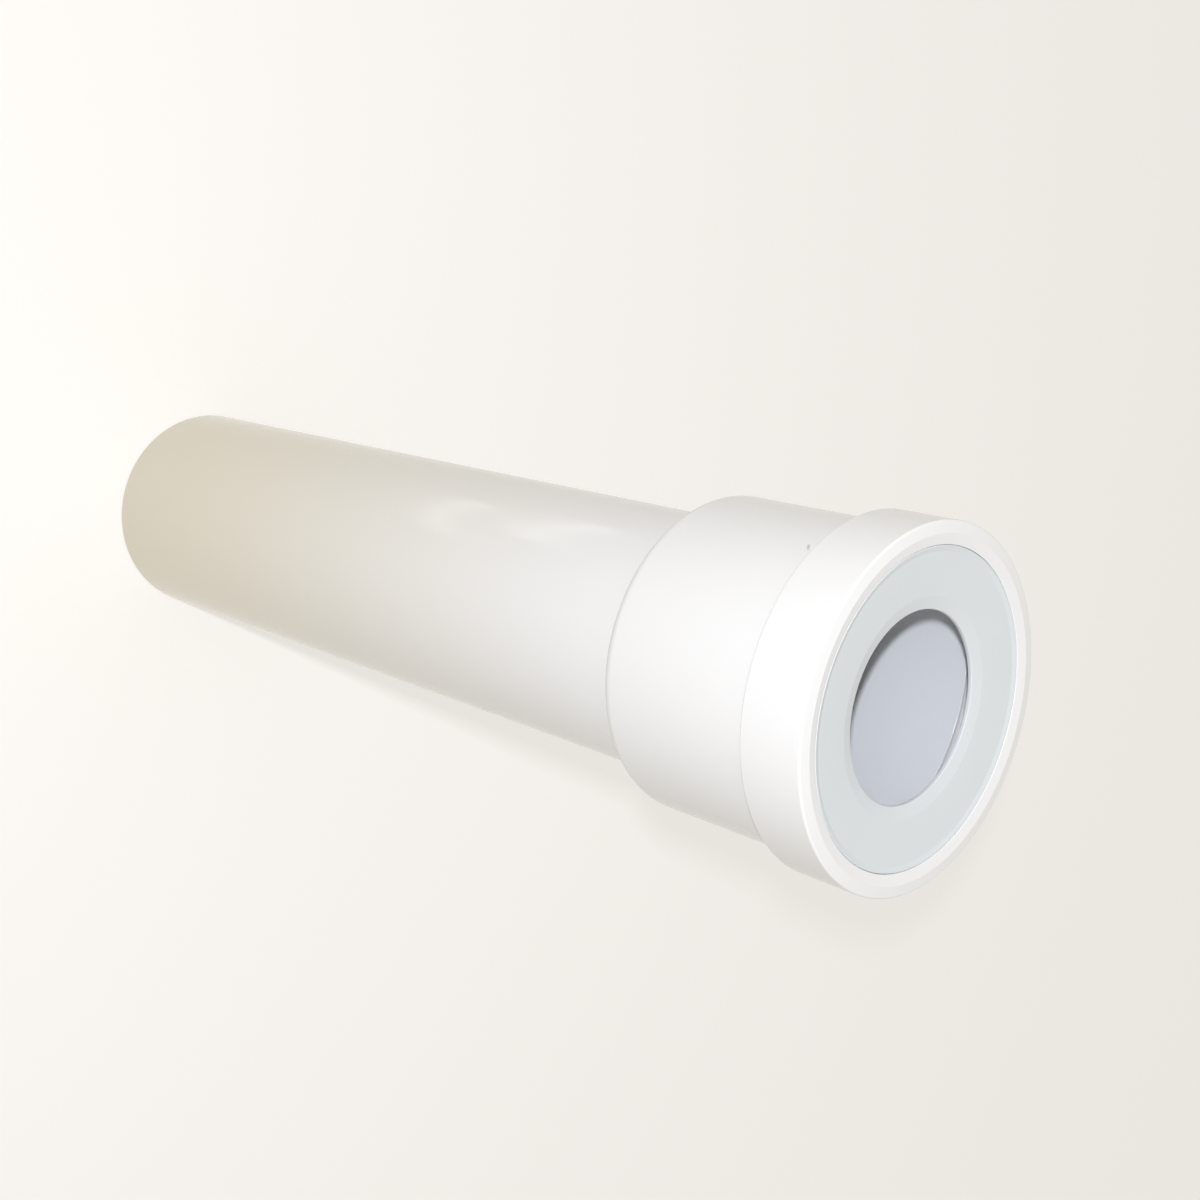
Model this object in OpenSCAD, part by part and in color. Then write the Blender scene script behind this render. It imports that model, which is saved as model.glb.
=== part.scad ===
// Extension pipe for a toilet outlet: a plain spigot tube, a wider socket and a collar that
// holds a rubber lip seal at the mouth. The origin is the centre of the spigot end and
// +Z runs up the axis to the mouth, so the pipe stands on its spigot end.

/* [Spigot tube] */
// Outside diameter of the tube
tube_d = 110; // [100:0.5:114]
// Length of the tube outside the socket
tube_len = 400; // [60:5:1000]
// Wall of the whole moulding
wall = 3; // [2.4:0.1:3.6]
// Rounded outer edge of the spigot end
spigot_round = 0.8; // [0.3:0.1:1.4]

/* [Socket] */
// Outside diameter of the socket
socket_d = 132.4; // [129:0.2:136]
// Length from the rim to the back of the socket
socket_len = 105; // [60:1:160]
// Outside rounding of the shoulder at the back of the socket
shoulder_round = 6; // [4.5:0.5:7]
// Hollow fillet where the tube meets the shoulder
root_fillet = 1.5; // [0.5:0.1:1.8]

/* [Collar and rim] */
// Outside diameter of the collar
collar_d = 143.4; // [142:0.2:150]
// Length of the collar along the axis
collar_len = 28; // [20:0.5:45]
// Rounded lower edge of the collar
collar_round = 1; // [0.4:0.1:2]
// Diameter of the opening that the rim's turned-in lip leaves
lip_d = 124.8; // [122:0.2:127]
// Diameter of the highest line of the rim
crown_d = 133.6; // [131:0.2:135]
// Fall of the rim's face from its highest line to its outer edge
rim_fall = 0.35; // [0.1:0.05:0.8]
// Rounded outer edge of the rim
rim_round = 0.9; // [0.4:0.1:1.5]
// Depth of the lip's edge below the highest line of the rim
lip_drop = 1.1; // [0.8:0.05:1.5]
// Depth of the underside of the lip
lip_under = 2.3; // [2:0.1:3]

/* [Seal] */
// Diameter of the hole in the seal
hole_d = 75; // [64:0.5:80]
// Thickness of the rubber
rubber = 2; // [1.6:0.1:2.4]
// Depth of the seal's face at its outer border
face_drop = 1.9; // [1.7:0.1:2.6]
// Depth of the face at the bend where the lip of the seal begins
bend_drop = 4.1; // [3.2:0.1:5]
// Depth of the middle of the edge round the hole
edge_drop = 6.3; // [5.6:0.1:7.5]
// Rounding of the two corners of that edge
edge_round = 0.6; // [0.3:0.05:0.7]
// Width of the lip of the seal, from the bend to the hole
lip_width = 5.3; // [4:0.1:7]
// Width of the sloping border that rises to the rim's lip
border_width = 2.3; // [1.5:0.1:3]
// Gap between the seal and the bore of the collar
seal_clearance = 0.1; // [0.05:0.05:0.3]
// Gap between the seal's border and the edge of the rim's lip
border_gap = 0.25; // [0.15:0.05:0.5]

/* [Hidden] */
$fn = 96;
overlap = 1;
pipe_color = [0.95, 0.95, 0.93];
seal_color = [0.72, 0.76, 0.78];

total_len = tube_len + socket_len;
tube_r = tube_d / 2;
bore_r = tube_r - wall;
socket_r = socket_d / 2;
socket_bore_r = socket_r - wall;
shoulder_bore_round = shoulder_round - wall;
collar_r = collar_d / 2;
collar_bore_r = collar_r - wall;
crown_r = crown_d / 2;
lip_r = lip_d / 2;
seat_depth = collar_len - wall;

hole_r = hole_d / 2;
sleeve_r = collar_bore_r - seal_clearance;
border_r = lip_r - border_gap;
face_r = border_r - border_width;
bend_r = hole_r + lip_width;
land = rubber - 2 * edge_round;
flange_depth = lip_under + seal_clearance;

// Height above the spigot end of a station given by its depth below the rim
function level(depth) = total_len - depth;

// Angle above the flat of the line from point a that touches a circle round c, seen from a
function touch_angle(a, c, r, side) =
    atan2(c[1] - a[1], a[0] - c[0]) + side * asin(r / norm(c - a));

// Point where that line touches the circle
function touch_point(a, c, r, side) =
    let (t = touch_angle(a, c, r, side), reach = sqrt(pow(norm(c - a), 2) - r * r))
    [a[0] - reach * cos(t), a[1] + reach * sin(t)];

// The piece to draw, or all of them

// Rectangle between two corners in the half plane that is revolved
module span(r0, z0, r1, z1) {
    translate([r0, z0]) square([r1 - r0, z1 - z0]);
}

// Rectangle from the axis whose lower outer corner is rounded
module foot_rounded(r, z0, z1, round) {
    span(0, z0 + round, r, z1);
    span(0, z0, r - round, z0 + round + overlap / 2);
    translate([r - round, z0 + round]) circle(r = round);
}

// Outline of the moulding, from the axis to its outside
module pipe_outside() {
    foot_rounded(tube_r, 0, tube_len + overlap, spigot_round);
    foot_rounded(socket_r, tube_len, level(collar_len - overlap), shoulder_round);
    foot_rounded(collar_r, level(collar_len), level(rim_fall + rim_round), collar_round);
    difference() {
        span(tube_r - overlap, tube_len - root_fillet, tube_r + root_fillet, tube_len + overlap);
        translate([tube_r + root_fillet, tube_len - root_fillet]) circle(r = root_fillet);
    }
    rim_top();
}

// Top of the rim: its rounded outer edge and the face that falls outward from the crown
module rim_top() {
    round_r = collar_r - rim_round;
    round_z = level(rim_fall + rim_round);
    translate([round_r, round_z]) circle(r = rim_round);
    polygon([
        [0, round_z - overlap],
        [collar_r - rim_round / 2, round_z - overlap],
        [round_r, level(rim_fall)],
        [crown_r, level(0)],
        [0, level(0)]
    ]);
}

// Hollow of the moulding: bore, socket, seat of the seal and the opening inside the lip
module pipe_inside() {
    span(0, -overlap, bore_r, tube_len + 2 * wall);
    foot_rounded(socket_bore_r, tube_len + wall, level(seat_depth - overlap), shoulder_bore_round);
    span(0, level(seat_depth), collar_bore_r, level(lip_under));
    span(0, level(lip_under + overlap), lip_r, level(lip_drop));
    polygon([
        [0, level(lip_drop + overlap / 2)],
        [lip_r, level(lip_drop + overlap / 2)],
        [lip_r, level(lip_drop)],
        [crown_r, level(0)],
        [crown_r + overlap / 10, level(-overlap)],
        [0, level(-overlap)]
    ]);
}

// White moulding in one piece: tube, shoulder, socket, collar and rim
module pipe() {
    color(pipe_color)
        rotate_extrude()
            difference() {
                pipe_outside();
                pipe_inside();
            }
}

// Section of the seal: flange, sloping border, dished face and the lip down to the hole
module seal_face() {
    edge_top = [hole_r + edge_round, level(edge_drop - land / 2)];
    edge_low = [hole_r + edge_round, level(edge_drop + land / 2)];
    bend_top = [bend_r, level(bend_drop)];
    bend_low = [bend_r, level(bend_drop + rubber)];
    translate(edge_top) circle(r = edge_round, $fn = 32);
    translate(edge_low) circle(r = edge_round, $fn = 32);
    polygon([
        [hole_r, edge_top[1]],
        [hole_r, edge_low[1]],
        edge_low,
        touch_point(bend_low, edge_low, edge_round, -1),
        bend_low,
        [face_r, level(flange_depth + rubber)],
        [sleeve_r, level(flange_depth + rubber)],
        [sleeve_r, level(flange_depth)],
        [border_r, level(flange_depth)],
        [border_r, level(lip_drop)],
        [face_r, level(face_drop)],
        bend_top,
        touch_point(bend_top, edge_top, edge_round, 1),
        edge_top
    ]);
}

// Rubber lip seal: dished face with a turned-in lip, and a sleeve that stands on the seat
module seal() {
    color(seal_color)
        rotate_extrude()
            union() {
                seal_face();
                span(sleeve_r - rubber, level(seat_depth), sleeve_r, level(flange_depth + rubber / 2));
            }
}

pipe();
seal();
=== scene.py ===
"""Looks of the extension pipe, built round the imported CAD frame.

The white moulding and its grey lip seal are turned from their sections with bmesh and dressed in
procedural plastic and rubber. They stand on a pale floor, lit by a small lamp beside the camera
and by a soft room. Lengths are in metres unless a name ends in _mm. The axis of the pipe is +Z.
"""

import logging
import math
from dataclasses import dataclass, field
from enum import Enum

import bmesh
import bpy
from mathutils import Matrix, Vector


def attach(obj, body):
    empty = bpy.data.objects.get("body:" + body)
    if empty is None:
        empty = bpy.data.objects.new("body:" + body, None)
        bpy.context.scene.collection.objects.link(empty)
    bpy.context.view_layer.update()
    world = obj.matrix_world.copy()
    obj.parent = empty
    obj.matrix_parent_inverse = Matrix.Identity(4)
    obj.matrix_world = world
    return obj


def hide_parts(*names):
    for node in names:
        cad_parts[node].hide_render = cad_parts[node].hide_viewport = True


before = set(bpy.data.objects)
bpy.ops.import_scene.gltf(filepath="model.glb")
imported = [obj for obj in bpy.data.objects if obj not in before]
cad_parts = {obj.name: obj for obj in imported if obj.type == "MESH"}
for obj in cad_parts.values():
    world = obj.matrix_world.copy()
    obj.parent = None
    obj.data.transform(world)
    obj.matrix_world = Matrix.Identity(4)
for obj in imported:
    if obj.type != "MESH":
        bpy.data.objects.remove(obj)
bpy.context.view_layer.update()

MM = 0.001
BODY = "root"
INNER_WALL = "inner_wall"
Colour = tuple[float, float, float]

log = logging.getLogger("extension_pipe")


class Slot(Enum):
    """The record's material slots."""

    PLASTIC = "pipe_plastic"
    RUBBER = "seal_rubber"


# ---------------------------------------------------------------- helpers for node trees


def shader_node(tree: bpy.types.NodeTree, kind: str, label: str, **settings: object) -> bpy.types.Node:
    """Adds a node to a tree.

    Args:
        tree: The tree that gets the node.
        kind: Blender's name for the node's type.
        label: The node's name and label.
        **settings: Properties to set on the node.

    Returns:
        The new node.
    """
    node = tree.nodes.new(kind)
    node.name = node.label = label
    for key, value in settings.items():
        setattr(node, key, value)
    return node


def math_node(
    tree: bpy.types.NodeTree, operation: str, label: str, first: object, second: object = None
) -> bpy.types.NodeSocket:
    """Adds a Math node and feeds it from sockets or numbers.

    Args:
        tree: The tree that gets the node.
        operation: The Math node's operation.
        label: The node's name.
        first: A socket or a number for the first input.
        second: A socket, a number or nothing for the second input.

    Returns:
        The node's output.
    """
    node = shader_node(tree, "ShaderNodeMath", label, operation=operation)
    for socket, value in zip(node.inputs, (first, second)):
        if isinstance(value, bpy.types.NodeSocket):
            tree.links.new(value, socket)
        elif value is not None:
            socket.default_value = value
    return node.outputs[0]


def grain_group() -> bpy.types.NodeTree:
    """Builds the group that both finishes share: fine grain, a broad drift and long draw marks.

    Returns:
        The node group, with named inputs and outputs.
    """
    name = "moulded_surface"
    group = bpy.data.node_groups.get(name)
    if group:
        return group
    group = bpy.data.node_groups.new(name, "ShaderNodeTree")
    for label, value in (("Grain Scale", 900.0), ("Drift Scale", 14.0), ("Draw Scale", 260.0)):
        socket = group.interface.new_socket(label, in_out="INPUT", socket_type="NodeSocketFloat")
        socket.default_value = value
    for label in ("Grain", "Drift", "Draw"):
        group.interface.new_socket(label, in_out="OUTPUT", socket_type="NodeSocketFloat")
    source = shader_node(group, "NodeGroupInput", "sizes")
    result = shader_node(group, "NodeGroupOutput", "masks")
    place = shader_node(group, "ShaderNodeTexCoord", "place")
    grain = shader_node(group, "ShaderNodeTexNoise", "grain")
    grain.inputs["Detail"].default_value = 3.0
    drift = shader_node(group, "ShaderNodeTexNoise", "drift")
    drift.inputs["Detail"].default_value = 2.0
    stretch = shader_node(group, "ShaderNodeMapping", "draw_direction")
    stretch.inputs["Scale"].default_value = (1.0, 1.0, 0.03)
    draw = shader_node(group, "ShaderNodeTexNoise", "draw")
    draw.inputs["Detail"].default_value = 4.0
    links = group.links
    links.new(place.outputs["Object"], stretch.inputs["Vector"])
    for texture, vector, size, out in (
        (grain, place.outputs["Object"], "Grain Scale", "Grain"),
        (drift, place.outputs["Object"], "Drift Scale", "Drift"),
        (draw, stretch.outputs["Vector"], "Draw Scale", "Draw"),
    ):
        links.new(vector, texture.inputs["Vector"])
        links.new(source.outputs[size], texture.inputs["Scale"])
        links.new(texture.outputs["Fac"], result.inputs[out])
    return group


# ---------------------------------------------------------------- finishes


@dataclass(frozen=True)
class GreyMark:
    """A faint grey mark on the plastic.

    Attributes:
        centre: Its place on the surface.
        along: Direction of its long side.
        half_long: Half its length.
        half_wide: Half its width.
        depth: How much of the grey shows in its middle.
    """

    centre: tuple[float, float, float]
    along: tuple[float, float, float]
    half_long: float
    half_wide: float
    depth: float


@dataclass(frozen=True)
class WhitePlastic:
    """White moulded plastic, with painted warm shade that turns it cream towards the spigot end, where the
    camera lamp's light falls off.
    """

    name: str = "white_moulded_plastic"
    near_colour: Colour = (0.86, 0.86, 0.85)
    # Painted warm shade at the spigot end, standing in for the camera lamp's light falling off along the tube.
    far_shade_colour: Colour = (0.87, 0.815, 0.67)
    # Painted light: the inner wall is whiter and bluer than the outside, standing in for the camera lamp's
    # light inside the bore.
    painted_inner_light_colour: Colour = (0.90, 0.92, 0.94)
    drift_share: float = 0.05
    drift_colour: Colour = (0.80, 0.78, 0.74)
    grey_mark_colour: Colour = (0.30, 0.30, 0.32)
    cream_from_mm: float = 0.0
    cream_to_mm: float = 400.0
    roughness: float = 0.16
    roughness_swing: float = 0.05
    grain_scale: float = 700.0
    drift_scale: float = 16.0
    draw_scale: float = 240.0
    bump_height: float = 0.00002
    bump_strength: float = 0.35
    grey_mark: GreyMark = GreyMark((-0.0462, -0.0475, 0.469), (0.6, -0.55, 0.58), 0.0026, 0.0008, 0.5)

    def material(self) -> bpy.types.Material:
        """Builds the material.

        Returns:
            The finished material.
        """
        made = bpy.data.materials.new(self.name)
        made.use_nodes = True
        tree = made.node_tree
        links = tree.links
        surface = tree.nodes["Principled BSDF"]
        surface.inputs["IOR"].default_value = 1.47
        surface.inputs["Subsurface Weight"].default_value = 0.0
        grain = shader_node(tree, "ShaderNodeGroup", "moulded_surface")
        grain.node_tree = grain_group()
        grain.inputs["Grain Scale"].default_value = self.grain_scale
        grain.inputs["Drift Scale"].default_value = self.drift_scale
        grain.inputs["Draw Scale"].default_value = self.draw_scale
        place = shader_node(tree, "ShaderNodeTexCoord", "place")
        split = shader_node(tree, "ShaderNodeSeparateXYZ", "height")
        links.new(place.outputs["Object"], split.inputs[0])
        # Painted shade: cream at the spigot end running to white near the mouth, standing in for the camera
        # lamp's falloff.
        cream = shader_node(tree, "ShaderNodeMapRange", "cream", interpolation_type="SMOOTHSTEP")
        cream.inputs["From Min"].default_value = self.cream_from_mm * MM
        cream.inputs["From Max"].default_value = self.cream_to_mm * MM
        links.new(split.outputs["Z"], cream.inputs["Value"])
        base = self._mix(tree, "painted_shade_to_white", cream.outputs[0], self.far_shade_colour, self.near_colour)
        drift = math_node(tree, "MULTIPLY", "drift_share", grain.outputs["Drift"], self.drift_share)
        toned = self._mix(tree, "drift", drift, base, self.drift_colour)
        # Painted light on the inner wall: faces that face the axis get the whiter, bluer colour of the
        # lamp-lit bore.
        inner = shader_node(tree, "ShaderNodeAttribute", "inner_wall", attribute_name=INNER_WALL)
        toned = self._mix(tree, "painted_inner_light", inner.outputs["Fac"], toned, self.painted_inner_light_colour)
        # A faint grey mark, darker and rougher than the plastic, on the socket just behind the collar.
        mark = self._grey_mark_mask(tree, place.outputs["Object"], grain.outputs["Grain"])
        links.new(self._mix(tree, "grey_marked", mark, toned, self.grey_mark_colour), surface.inputs["Base Color"])
        swing = math_node(tree, "MULTIPLY_ADD", "roughness", grain.outputs["Drift"], self.roughness_swing)
        swing.node.inputs[2].default_value = self.roughness - self.roughness_swing / 2
        marked_roughness = math_node(tree, "MULTIPLY_ADD", "mark_roughness", mark, 0.2)
        links.new(swing, marked_roughness.node.inputs[2])
        links.new(marked_roughness, surface.inputs["Roughness"])
        relief = math_node(tree, "ADD", "relief", grain.outputs["Grain"], grain.outputs["Draw"])
        bump = shader_node(tree, "ShaderNodeBump", "bump")
        bump.inputs["Strength"].default_value = self.bump_strength
        bump.inputs["Distance"].default_value = self.bump_height
        links.new(relief, bump.inputs["Height"])
        links.new(bump.outputs["Normal"], surface.inputs["Normal"])
        return made

    @staticmethod
    def _mix(
        tree: bpy.types.NodeTree, label: str, share: bpy.types.NodeSocket, first: object, second: object
    ) -> bpy.types.NodeSocket:
        """Mixes two colours, each given as a socket or a plain colour, and returns the result."""
        node = shader_node(tree, "ShaderNodeMix", label, data_type="RGBA")
        tree.links.new(share, node.inputs["Factor"])
        for socket, value in ((node.inputs[6], first), (node.inputs[7], second)):
            if isinstance(value, bpy.types.NodeSocket):
                tree.links.new(value, socket)
            else:
                socket.default_value = (*value, 1.0)
        return node.outputs[2]

    def _grey_mark_mask(
        self, tree: bpy.types.NodeTree, place: bpy.types.NodeSocket, grain: bpy.types.NodeSocket
    ) -> bpy.types.NodeSocket:
        """Builds the mask of the grey mark.

        Args:
            tree: The material's tree.
            place: Object coordinates.
            grain: Noise that breaks up the mark's edge.

        Returns:
            A value from 0 to the mark's depth.
        """
        mark = self.grey_mark
        along = Vector(mark.along).normalized()
        away = shader_node(tree, "ShaderNodeVectorMath", "from_mark", operation="SUBTRACT")
        away.inputs[1].default_value = mark.centre
        tree.links.new(place, away.inputs[0])
        run = shader_node(tree, "ShaderNodeVectorMath", "along_mark", operation="DOT_PRODUCT")
        run.inputs[1].default_value = along
        tree.links.new(away.outputs["Vector"], run.inputs[0])
        whole = shader_node(tree, "ShaderNodeVectorMath", "mark_distance", operation="LENGTH")
        tree.links.new(away.outputs["Vector"], whole.inputs[0])
        run_squared = math_node(tree, "POWER", "run_squared", run.outputs["Value"], 2.0)
        whole_squared = math_node(tree, "POWER", "whole_squared", whole.outputs["Value"], 2.0)
        across_squared = math_node(tree, "SUBTRACT", "across_squared", whole_squared, run_squared)
        long_part = math_node(tree, "DIVIDE", "long_part", run_squared, mark.half_long**2)
        wide_part = math_node(tree, "DIVIDE", "wide_part", across_squared, mark.half_wide**2)
        reach = math_node(tree, "ADD", "reach", long_part, wide_part)
        ragged = math_node(tree, "ADD", "ragged_reach", reach, grain)
        fade = shader_node(tree, "ShaderNodeMapRange", "fade", interpolation_type="SMOOTHSTEP")
        fade.inputs["From Min"].default_value = 1.6
        fade.inputs["From Max"].default_value = 0.5
        fade.inputs["To Max"].default_value = mark.depth
        tree.links.new(ragged, fade.inputs["Value"])
        return fade.outputs[0]


@dataclass(frozen=True)
class SealRubber:
    """Matt pale grey rubber with a fine grain and a soft bloom."""

    name: str = "grey_seal_rubber"
    colour: Colour = (0.70, 0.735, 0.745)
    bloom_colour: Colour = (0.73, 0.76, 0.765)
    roughness: float = 0.55
    roughness_swing: float = 0.1
    grain_scale: float = 1500.0
    drift_scale: float = 45.0
    draw_scale: float = 300.0
    bump_height: float = 0.00003
    bump_strength: float = 0.4

    def material(self) -> bpy.types.Material:
        """Builds the material.

        Returns:
            The finished material.
        """
        made = bpy.data.materials.new(self.name)
        made.use_nodes = True
        tree = made.node_tree
        links = tree.links
        surface = tree.nodes["Principled BSDF"]
        surface.inputs["IOR"].default_value = 1.5
        surface.inputs["Specular IOR Level"].default_value = 0.35
        grain = shader_node(tree, "ShaderNodeGroup", "moulded_surface")
        grain.node_tree = grain_group()
        grain.inputs["Grain Scale"].default_value = self.grain_scale
        grain.inputs["Drift Scale"].default_value = self.drift_scale
        grain.inputs["Draw Scale"].default_value = self.draw_scale
        tone = WhitePlastic._mix(tree, "bloom", grain.outputs["Drift"], self.colour, self.bloom_colour)
        links.new(tone, surface.inputs["Base Color"])
        swing = math_node(tree, "MULTIPLY_ADD", "roughness", grain.outputs["Drift"], self.roughness_swing)
        swing.node.inputs[2].default_value = self.roughness - self.roughness_swing / 2
        links.new(swing, surface.inputs["Roughness"])
        bump = shader_node(tree, "ShaderNodeBump", "bump")
        bump.inputs["Strength"].default_value = self.bump_strength
        bump.inputs["Distance"].default_value = self.bump_height
        links.new(grain.outputs["Grain"], bump.inputs["Height"])
        links.new(bump.outputs["Normal"], surface.inputs["Normal"])
        return made


# ---------------------------------------------------------------- turned pieces


@dataclass(frozen=True)
class Corner:
    """A corner of a turned section, in millimetres.

    Attributes:
        radius: Distance from the axis.
        height: Height above the spigot end.
        rounding: Radius of the corner's rounding.
        segments: Flats along the rounding.
    """

    radius: float
    height: float
    rounding: float = 0.0
    segments: int = 3


@dataclass
class TurnedPiece:
    """A piece of revolution about the pipe's axis.

    Attributes:
        name: The piece's name.
        node: The CAD node that it stands for.
        slot: The record's material slot; not used.
        steps: Faces round the axis.
    """

    name: str
    node: str
    slot: Slot
    steps: int

    def corners(self) -> list[Corner]:
        """Returns the section's corners in order round the section."""
        raise NotImplementedError

    def build(self, material: bpy.types.Material) -> bpy.types.Object:
        """Turns the section into a mesh and puts it in the frame.

        Args:
            material: The piece's finish.

        Returns:
            The finished piece, riding on the part's body.
        """
        bm = bmesh.new()
        self._draw_section(bm)
        bmesh.ops.spin(
            bm,
            geom=bm.verts[:] + bm.edges[:],
            cent=(0.0, 0.0, 0.0),
            axis=(0.0, 0.0, 1.0),
            dvec=(0.0, 0.0, 0.0),
            angle=math.tau,
            steps=self.steps,
            use_merge=True,
            use_normal_flip=False,
            use_duplicate=False,
        )
        bmesh.ops.remove_doubles(bm, verts=bm.verts[:], dist=0.002 * MM)
        bmesh.ops.recalc_face_normals(bm, faces=bm.faces[:])
        # Faces that face the axis are marked, for the plastic's painted light on the inner wall.
        inner_wall = bm.faces.layers.float.new(INNER_WALL)
        for face in bm.faces:
            face.smooth = True
            outward = face.calc_center_median().to_2d().normalized()
            face[inner_wall] = float(face.normal.to_2d().dot(outward) < -0.5)
        mesh = bpy.data.meshes.new(self.name)
        bm.to_mesh(mesh)
        bm.free()
        mesh.materials.append(material)
        piece = bpy.data.objects.new(self.name, mesh)
        bpy.context.scene.collection.objects.link(piece)
        shading = piece.modifiers.new("even_shading", "WEIGHTED_NORMAL")
        shading.mode = "FACE_AREA"
        shading.weight = 100
        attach(piece, BODY)
        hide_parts(self.node)
        log.info("%s: %d faces, stands for %s", self.name, len(mesh.polygons), self.node)
        return piece

    def _draw_section(self, bm: bmesh.types.BMesh) -> None:
        """Draws the section's outline in the plane of X and Z, with its corners rounded.

        Args:
            bm: The mesh that gets the outline.
        """
        corners = self.corners()
        points = [Vector((c.radius * MM, 0.0, c.height * MM)) for c in corners]
        verts = [bm.verts.new(p) for p in points]
        bm.faces.new(verts)
        count = len(corners)
        for i, corner in enumerate(corners):
            if not corner.rounding:
                continue
            back = (points[i] - points[i - 1]).normalized()
            ahead = (points[(i + 1) % count] - points[i]).normalized()
            turn = back.angle(ahead)
            bmesh.ops.bevel(
                bm,
                geom=[verts[i]],
                offset=corner.rounding * MM * math.tan(turn / 2),
                offset_type="OFFSET",
                segments=corner.segments,
                profile=0.5,
                affect="VERTICES",
                material=-1,
                clamp_overlap=False,
            )
        bmesh.ops.delete(bm, geom=bm.faces[:], context="FACES_ONLY")


@dataclass
class PipeMoulding(TurnedPiece):
    """The white moulding: tube, shoulder, socket, collar and rim, in millimetres."""

    name: str = "pipe_moulding"
    node: str = "pipe"
    slot: Slot = Slot.PLASTIC
    steps: int = 256
    tube_r: float = 55.0
    bore_r: float = 52.0
    tube_len: float = 400.0
    wall: float = 3.0
    socket_r: float = 66.2
    socket_bore_r: float = 63.2
    collar_r: float = 71.7
    collar_bore_r: float = 68.7
    collar_from: float = 477.0
    seat_at: float = 480.0
    top: float = 505.0
    rim_edge_at: float = 504.571
    crown_r: float = 66.8
    lip_r: float = 62.4
    lip_top: float = 503.9
    lip_under: float = 502.7

    def corners(self) -> list[Corner]:
        """Returns the section, from the spigot's end up the outside and down the inside."""
        return [
            Corner(self.bore_r, 0.0, 0.35, 4),
            Corner(self.tube_r, 0.0, 0.8, 6),
            Corner(self.tube_r, self.tube_len, 1.5, 8),
            Corner(self.socket_r, self.tube_len, 6.0, 16),
            Corner(self.socket_r, self.collar_from, 0.3, 4),
            Corner(self.collar_r, self.collar_from, 1.0, 8),
            Corner(self.collar_r, self.rim_edge_at, 0.9, 8),
            Corner(self.crown_r, self.top, 0.3, 4),
            Corner(self.lip_r, self.lip_top, 0.25, 4),
            Corner(self.lip_r, self.lip_under, 0.2, 3),
            Corner(self.collar_bore_r, self.lip_under),
            Corner(self.collar_bore_r, self.seat_at),
            Corner(self.socket_bore_r, self.seat_at, 0.4, 4),
            Corner(self.socket_bore_r, self.tube_len + self.wall, 3.0, 10),
            Corner(self.bore_r, self.tube_len + self.wall, 0.5, 4),
        ]


@dataclass
class LipSeal(TurnedPiece):
    """The rubber seal: sleeve, flange, sloping border, dished face and turned-in lip, in millimetres."""

    name: str = "lip_seal"
    node: str = "seal"
    slot: Slot = Slot.RUBBER
    steps: int = 256
    hole_r: float = 37.5
    hole_top: float = 499.57
    hole_low: float = 497.52
    bend_r: float = 42.8
    bend_top: float = 500.9
    bend_low: float = 498.9
    face_r: float = 59.85
    face_top: float = 503.1
    face_low: float = 500.6
    border_r: float = 62.15
    border_top: float = 503.9
    flange_top: float = 502.6
    sleeve_r: float = 68.6
    sleeve_in_r: float = 66.6
    sleeve_foot: float = 480.0

    def corners(self) -> list[Corner]:
        """Returns the section, from the hole out along the face and back underneath."""
        return [
            Corner(self.hole_r, self.hole_top, 0.6, 6),
            Corner(self.bend_r, self.bend_top, 2.5, 6),
            Corner(self.face_r, self.face_top, 1.0, 5),
            Corner(self.border_r, self.border_top, 0.3, 4),
            Corner(self.border_r, self.flange_top),
            Corner(self.sleeve_r, self.flange_top, 0.3, 3),
            Corner(self.sleeve_r, self.sleeve_foot, 0.3, 3),
            Corner(self.sleeve_in_r, self.sleeve_foot, 0.3, 3),
            Corner(self.sleeve_in_r, self.face_low, 0.5, 3),
            Corner(self.face_r, self.face_low),
            Corner(self.bend_r, self.bend_low, 2.0, 4),
            Corner(self.hole_r, self.hole_low, 0.6, 6),
        ]


# ---------------------------------------------------------------- studio


@dataclass(frozen=True)
class RoomLobe:
    """Soft light from one side of the room.

    Attributes:
        name: The lobe's name.
        towards: Direction from the part to the middle of the light, or zero for all round.
        colour: The light's colour at full strength.
    """

    name: str
    towards: tuple[float, float, float]
    colour: Colour


@dataclass(frozen=True)
class Lamp:
    """A small rectangular lamp.

    Attributes:
        name: The lamp's name.
        place: Its centre.
        aim: The point that it faces.
        size: Its width and height.
        power: Its power in watts.
        colour: Its colour.
        diffuse: Whether it lights surfaces, or shows only as a reflection.
        roll: Its turn about its own direction, in degrees.
    """

    name: str
    place: tuple[float, float, float]
    aim: tuple[float, float, float]
    size: tuple[float, float]
    power: float
    colour: Colour
    diffuse: bool = True
    roll: float = 0.0

    def build(self) -> bpy.types.Object:
        """Puts the lamp in the scene and returns it."""
        light = bpy.data.lights.new(self.name, "AREA")
        light.shape = "RECTANGLE"
        light.size, light.size_y = self.size
        light.energy = self.power
        light.color = self.colour
        lamp = bpy.data.objects.new(self.name, light)
        bpy.context.scene.collection.objects.link(lamp)
        facing = (Vector(self.aim) - Vector(self.place)).to_track_quat("-Z", "Y").to_matrix()
        roll = Matrix.Rotation(math.radians(self.roll), 4, "Z")
        lamp.matrix_world = Matrix.Translation(self.place) @ facing.to_4x4() @ roll
        lamp.visible_camera = False
        lamp.visible_diffuse = self.diffuse
        return lamp


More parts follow.
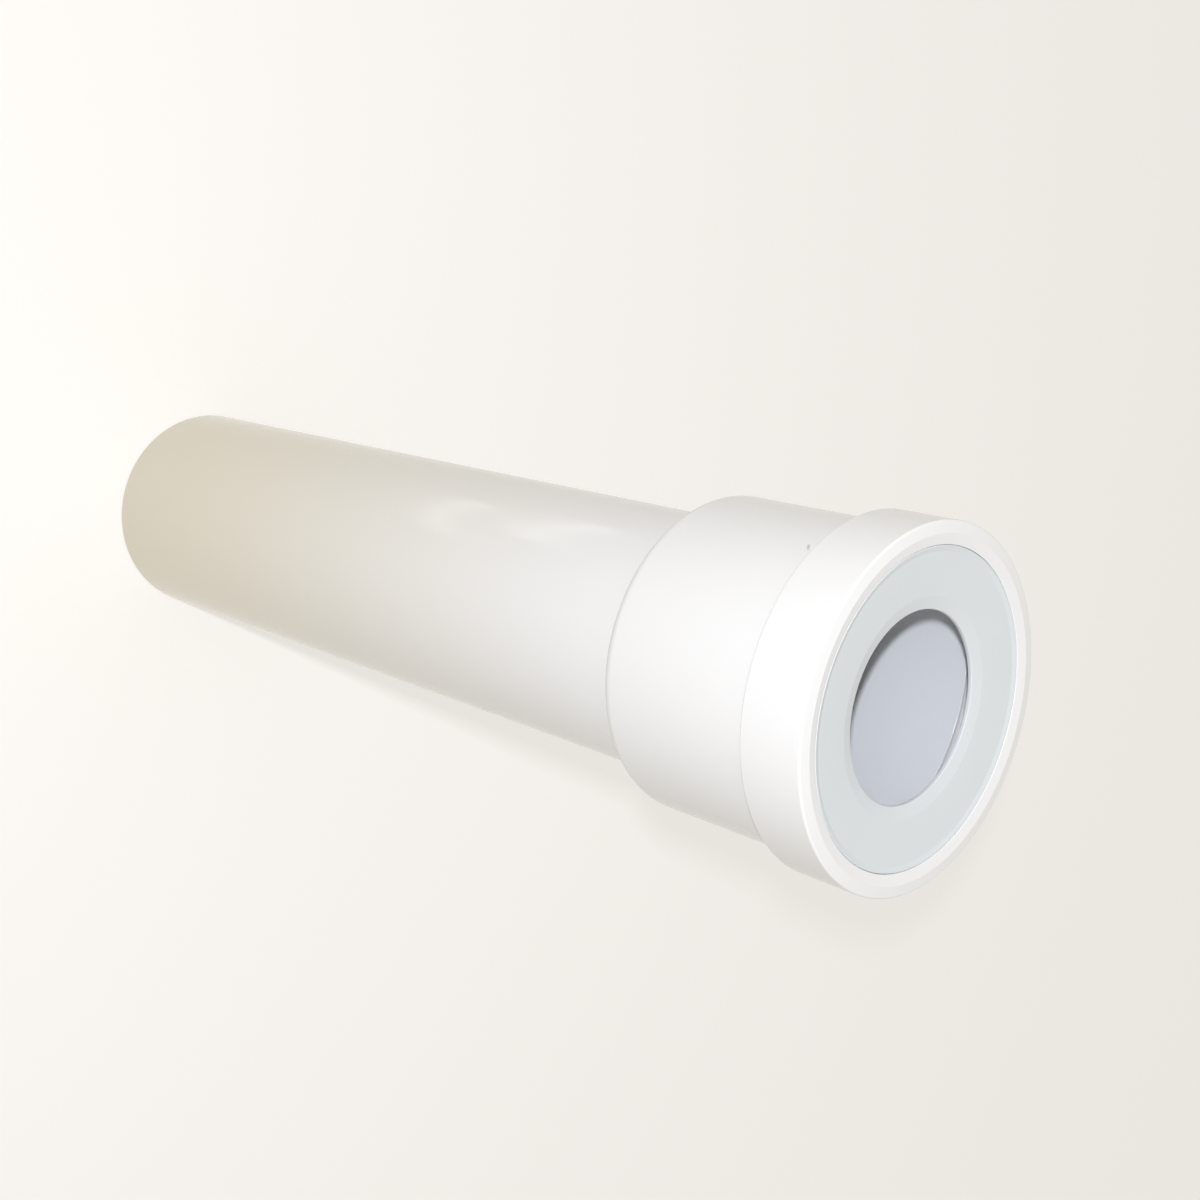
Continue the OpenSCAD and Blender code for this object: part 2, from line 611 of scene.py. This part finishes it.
@dataclass
class Studio:
    """Pale floor, white room, soft light, the lamp beside the camera and the camera."""

    floor_half: float = 6.0
    floor_colour: Colour = (0.62, 0.60, 0.56)
    floor_lift: float = 0.45
    lobes: tuple[RoomLobe, ...] = (
        RoomLobe("all_round", (0.0, 0.0, 0.0), (0.13, 0.125, 0.117)),
        RoomLobe("left", (-1.0, 0.0, 0.0), (0.47, 0.453, 0.423)),
        RoomLobe("right", (1.0, 0.0, 0.0), (0.43, 0.415, 0.387)),
        RoomLobe("front", (0.0, -1.0, 0.0), (0.23, 0.222, 0.207)),
        RoomLobe("back", (0.0, 1.0, 0.0), (0.08, 0.077, 0.072)),
        RoomLobe("above", (0.0, 0.0, 1.0), (0.29, 0.28, 0.261)),
    )
    lamps: tuple[Lamp, ...] = (
        Lamp("camera_lamp", (-0.047, -0.630, 0.903), (0.0, 0.0, 0.40), (0.030, 0.014), 4.5, (0.90, 0.92, 1.0)),
        Lamp("near_strip", (-0.214, -0.135, 0.015), (-0.214, -0.135, 1.0), (0.010, 0.190), 0.02, (1.0, 1.0, 1.0), False, -35.6),
        Lamp("far_strip", (-0.326, -0.123, 0.015), (-0.326, -0.123, 1.0), (0.016, 0.215), 0.04, (1.0, 1.0, 1.0), False, -36.0),
    )
    camera_distance: float = 0.52225
    camera_height: float = 0.83914
    lens_mm: float = 49.404
    sensor_mm: float = 36.0
    view_right: tuple[float, float, float] = (0.0, 0.0, 0.0)
    parts: list[bpy.types.Object] = field(default_factory=list)

    def build(self) -> None:
        """Builds the room, the floor, the lamps and the camera."""
        scene = bpy.context.scene
        scene.view_settings.view_transform = "Standard"
        self._room(scene)
        self._floor()
        for lamp in self.lamps:
            self.parts.append(lamp.build())
        self._camera(scene)
        log.info("studio: %d lamps, %d sides of soft light", len(self.lamps), len(self.lobes))

    @staticmethod
    def _seen_directly(tree: bpy.types.NodeTree) -> bpy.types.NodeSocket:
        """Returns 1 for rays of the camera, of reflections and of glass, and 0 for the rest."""
        path = shader_node(tree, "ShaderNodeLightPath", "light_path")
        seen = math_node(tree, "MAXIMUM", "camera_or_gloss", path.outputs["Is Camera Ray"], path.outputs["Is Glossy Ray"])
        return math_node(tree, "MAXIMUM", "seen_directly", seen, path.outputs["Is Transmission Ray"])

    def _room(self, scene: bpy.types.Scene) -> None:
        """Makes the world: white where it is seen, and soft light from its sides elsewhere."""
        world = bpy.data.worlds.new("room")
        scene.world = world
        world.use_nodes = True
        tree = world.node_tree
        tree.nodes.clear()
        links = tree.links
        place = shader_node(tree, "ShaderNodeTexCoord", "direction")
        total = None
        for lobe in self.lobes:
            tint = shader_node(tree, "ShaderNodeVectorMath", f"lobe_{lobe.name}", operation="SCALE")
            tint.inputs[0].default_value = lobe.colour
            if any(lobe.towards):
                side = shader_node(tree, "ShaderNodeVectorMath", f"side_{lobe.name}", operation="DOT_PRODUCT")
                side.inputs[1].default_value = Vector(lobe.towards).normalized()
                links.new(place.outputs["Generated"], side.inputs[0])
                links.new(math_node(tree, "MAXIMUM", f"front_{lobe.name}", side.outputs["Value"], 0.0), tint.inputs["Scale"])
            if total is None:
                total = tint.outputs[0]
            else:
                joined = shader_node(tree, "ShaderNodeVectorMath", f"with_{lobe.name}", operation="ADD")
                links.new(total, joined.inputs[0])
                links.new(tint.outputs[0], joined.inputs[1])
                total = joined.outputs[0]
        soft = shader_node(tree, "ShaderNodeBackground", "soft_light")
        links.new(total, soft.inputs["Color"])
        white = shader_node(tree, "ShaderNodeBackground", "white_room")
        white.inputs["Color"].default_value = (1.0, 1.0, 1.0, 1.0)
        choose = shader_node(tree, "ShaderNodeMixShader", "seen_or_light")
        output = shader_node(tree, "ShaderNodeOutputWorld", "world")
        links.new(self._seen_directly(tree), choose.inputs[0])
        links.new(soft.outputs[0], choose.inputs[1])
        links.new(white.outputs[0], choose.inputs[2])
        links.new(choose.outputs[0], output.inputs["Surface"])

    def _floor(self) -> None:
        """Makes the floor, which is lifted to white where it is seen and keeps the shadow."""
        bm = bmesh.new()
        bmesh.ops.create_grid(bm, x_segments=1, y_segments=1, size=self.floor_half)
        mesh = bpy.data.meshes.new("floor")
        bm.to_mesh(mesh)
        bm.free()
        material = bpy.data.materials.new("pale_floor")
        material.use_nodes = True
        tree = material.node_tree
        tree.nodes.clear()
        links = tree.links
        matt = shader_node(tree, "ShaderNodeBsdfDiffuse", "matt_floor")
        matt.inputs["Color"].default_value = (*self.floor_colour, 1.0)
        lift = shader_node(tree, "ShaderNodeEmission", "lift")
        links.new(math_node(tree, "MULTIPLY", "lift_where_seen", self._seen_directly(tree), self.floor_lift), lift.inputs["Strength"])
        both = shader_node(tree, "ShaderNodeAddShader", "lifted_floor")
        output = shader_node(tree, "ShaderNodeOutputMaterial", "floor_surface")
        links.new(matt.outputs[0], both.inputs[0])
        links.new(lift.outputs[0], both.inputs[1])
        links.new(both.outputs[0], output.inputs["Surface"])
        mesh.materials.append(material)
        floor = bpy.data.objects.new("floor", mesh)
        bpy.context.scene.collection.objects.link(floor)
        self.parts.append(floor)

    def _camera(self, scene: bpy.types.Scene) -> None:
        """Sets the camera at the photograph's viewing angle.

        The photograph shows the pipe lying on its side, so the camera is rolled: it looks down on
        the mouth, and the pipe's axis runs from the lower right of the picture to the upper left.
        """
        data = bpy.data.cameras.new("camera")
        data.sensor_width = self.sensor_mm
        data.lens = self.lens_mm
        data.clip_start, data.clip_end = 0.01, 100.0
        camera = bpy.data.objects.new("camera", data)
        scene.collection.objects.link(camera)
        axis = Vector((-0.689953, -0.185956, 0.699560)).normalized()
        mouth = Vector((0.119930, 0.041244, 0.606886))
        up_axis = -axis
        inward = (mouth - mouth.dot(axis) * axis).normalized()
        across = inward.cross(up_axis)
        turn = Matrix((across, inward, up_axis))
        right = turn @ Vector((1.0, 0.0, 0.0))
        up = turn @ Vector((0.0, -1.0, 0.0))
        back = turn @ Vector((0.0, 0.0, -1.0))
        facing = Matrix((right, up, back)).transposed().to_4x4()
        place = Vector((0.0, -self.camera_distance, self.camera_height))
        camera.matrix_world = Matrix.Translation(place) @ facing
        scene.camera = camera


def main() -> None:
    logging.basicConfig(level=logging.INFO, format="%(name)s: %(message)s")
    studio = Studio()
    studio.build()
    PipeMoulding().build(WhitePlastic().material())
    LipSeal().build(SealRubber().material())
    bpy.context.view_layer.update()


if __name__ == "__main__":
    main()
